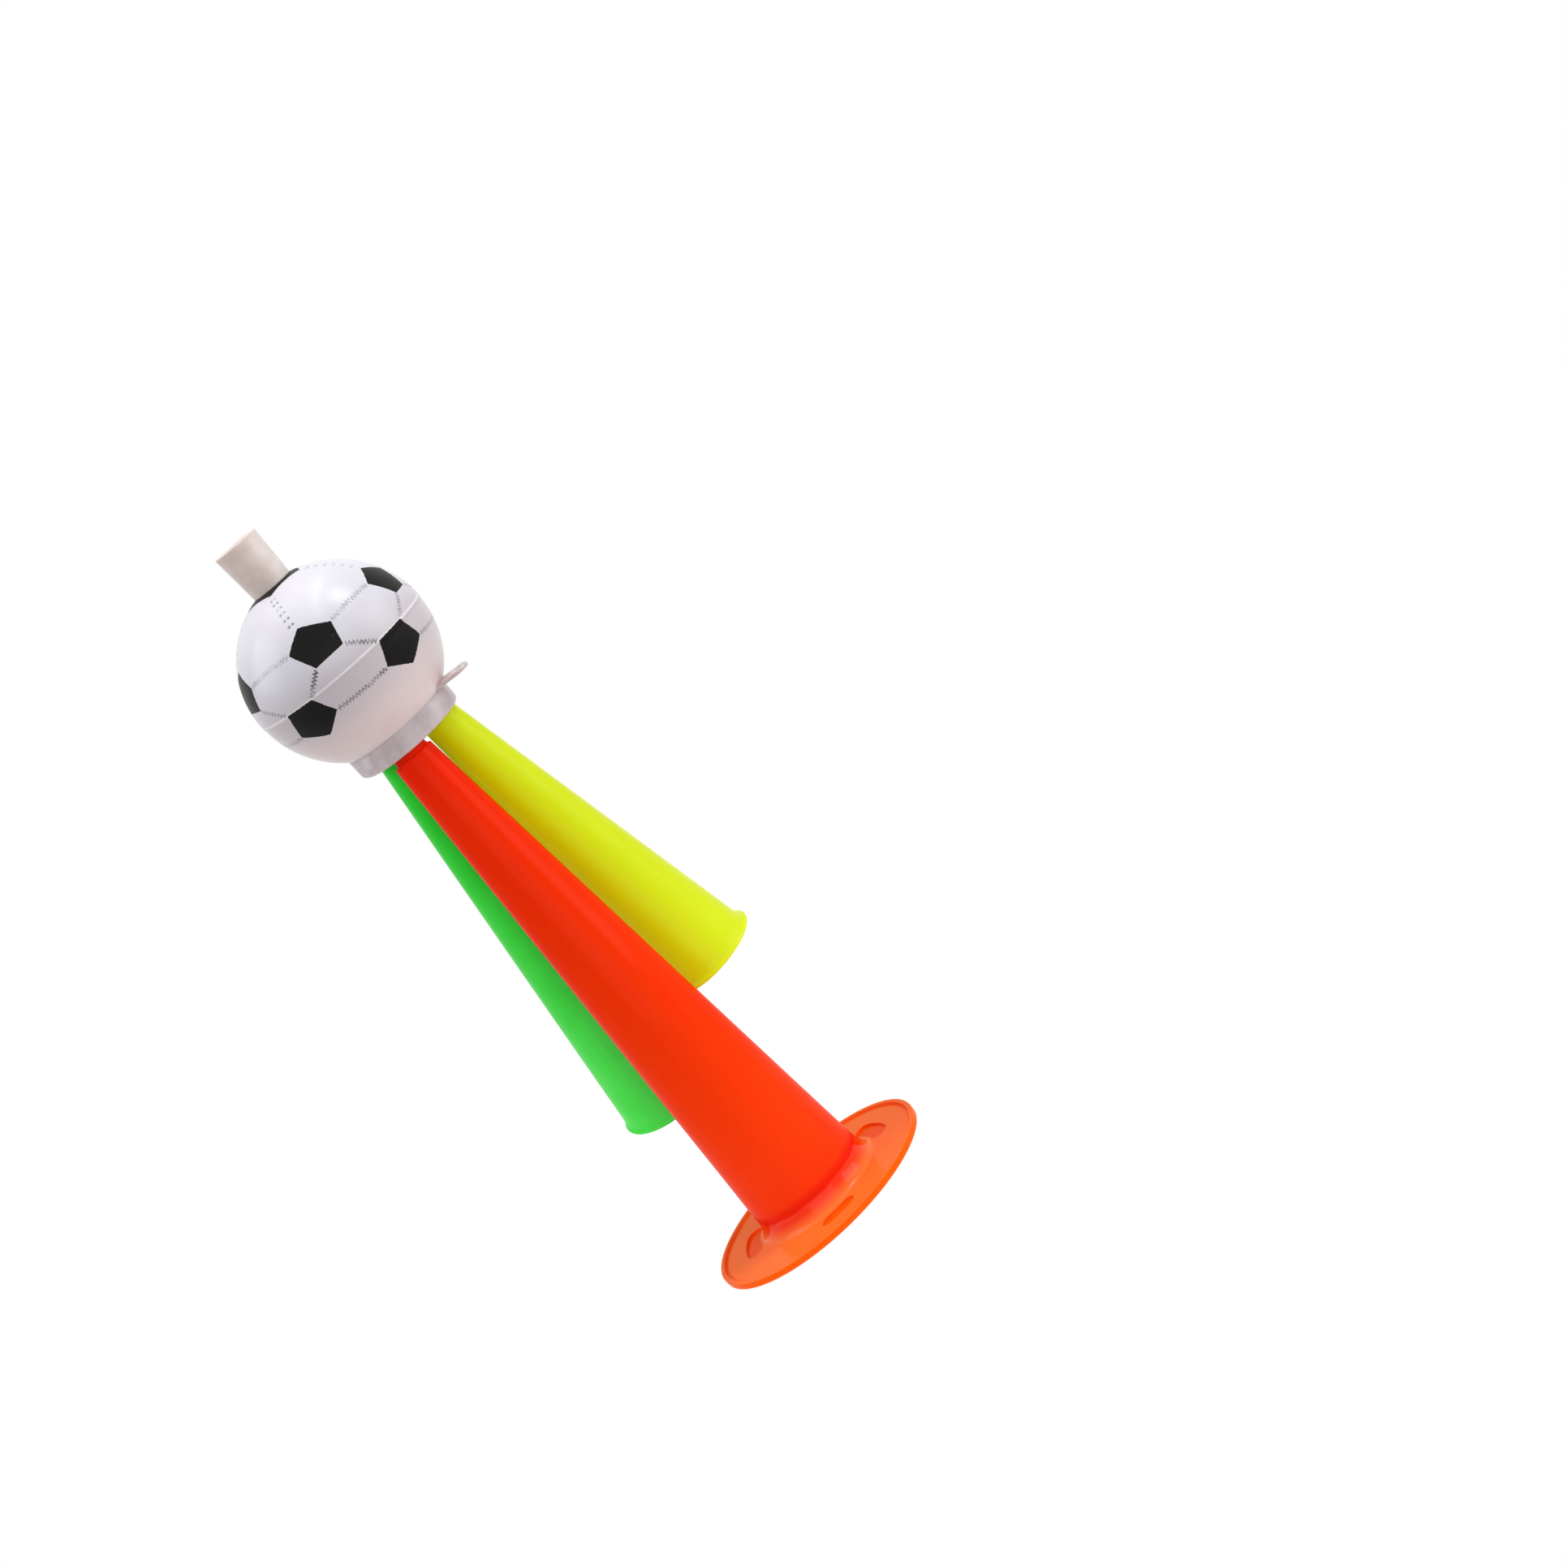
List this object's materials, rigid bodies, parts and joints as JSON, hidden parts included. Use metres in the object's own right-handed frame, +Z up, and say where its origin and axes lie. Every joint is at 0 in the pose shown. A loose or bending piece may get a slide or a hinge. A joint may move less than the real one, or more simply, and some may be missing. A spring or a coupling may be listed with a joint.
{
  "type": "stadium horn",
  "caption": "Mouth-blown stadium horn: a football-patterned ball with a mouthpiece and push-fit conical trumpets of unlike length, the longest with a flange it stands on.",
  "frame": {"origin": "on the ground, under the middle of the whole horn's bounding box; the main trumpet's axis stands at x = 0.0038, y = -0.0096", "axes": "+Z up along the main trumpet towards the ball, -Y towards the side that the main trumpet's socket is on, +X to the right seen from that side"},
  "size_m": [0.1105, 0.1222, 0.3468],
  "materials": {
    "red_plastic": "satin tube with a glossy flange",
    "yellow_plastic": "satin",
    "green_plastic": "satin",
    "ball_plastic": "glossy, with a black printed football pattern",
    "milky_lilac_plastic": "milky, slightly translucent",
    "milky_warm_plastic": "milky, slightly translucent",
    "reed_plastic": "plain moulded",
    "tongue_film": "thin clear film"
  },
  "bodies": {
    "main_trumpet": {"main_trumpet": "red_plastic"},
    "head": {"collar": "milky_lilac_plastic", "ball_lower_shell": "ball_plastic", "ball_upper_shell": "ball_plastic", "mouthpiece": "milky_warm_plastic", "reed_body_main": "reed_plastic", "reed_body_yellow": "reed_plastic", "reed_body_green": "reed_plastic", "reed_ring_main": "reed_plastic", "reed_ring_yellow": "reed_plastic", "reed_ring_green": "reed_plastic"},
    "yellow_trumpet": {"yellow_trumpet": "yellow_plastic"},
    "green_trumpet": {"green_trumpet": "green_plastic"},
    "reed_tongue_main": {"reed_tongue_main": "tongue_film"},
    "reed_tongue_yellow": {"reed_tongue_yellow": "tongue_film"},
    "reed_tongue_green": {"reed_tongue_green": "tongue_film"}
  },
  "joints": [
    {"name": "head_pull_off", "type": "slide", "parent": "main_trumpet", "child": "head", "axis": [0, 0, 1], "range_m": [0, 0.016]},
    {"name": "yellow_pull_out", "type": "slide", "parent": "head", "child": "yellow_trumpet", "axis": [0.0648, 0.1605, -0.9849], "range_m": [0, 0.016]},
    {"name": "green_pull_out", "type": "slide", "parent": "head", "child": "green_trumpet", "axis": [-0.1372, 0.1546, -0.9784], "range_m": [0, 0.016]},
    {"name": "reed_tongue_main_beat", "type": "hinge", "parent": "head", "child": "reed_tongue_main", "pos_m": [0.0038, -0.011, 0.2635], "axis": [1, 0, 0], "range_deg": [-2.5, 2], "stiffness_Nm_per_rad": 0.0002},
    {"name": "reed_tongue_yellow_beat", "type": "hinge", "parent": "head", "child": "reed_tongue_yellow", "pos_m": [0.01534, 0.00807, 0.26495], "axis": [-0.4996, 0.8596, 0.1072], "range_deg": [-2.5, 2], "stiffness_Nm_per_rad": 0.0002},
    {"name": "reed_tongue_green_beat", "type": "hinge", "parent": "head", "child": "reed_tongue_green", "pos_m": [-0.00643, 0.00808, 0.26585], "axis": [-0.4996, -0.8637, -0.0664], "range_deg": [-2.5, 2], "stiffness_Nm_per_rad": 0.0002}
  ]
}
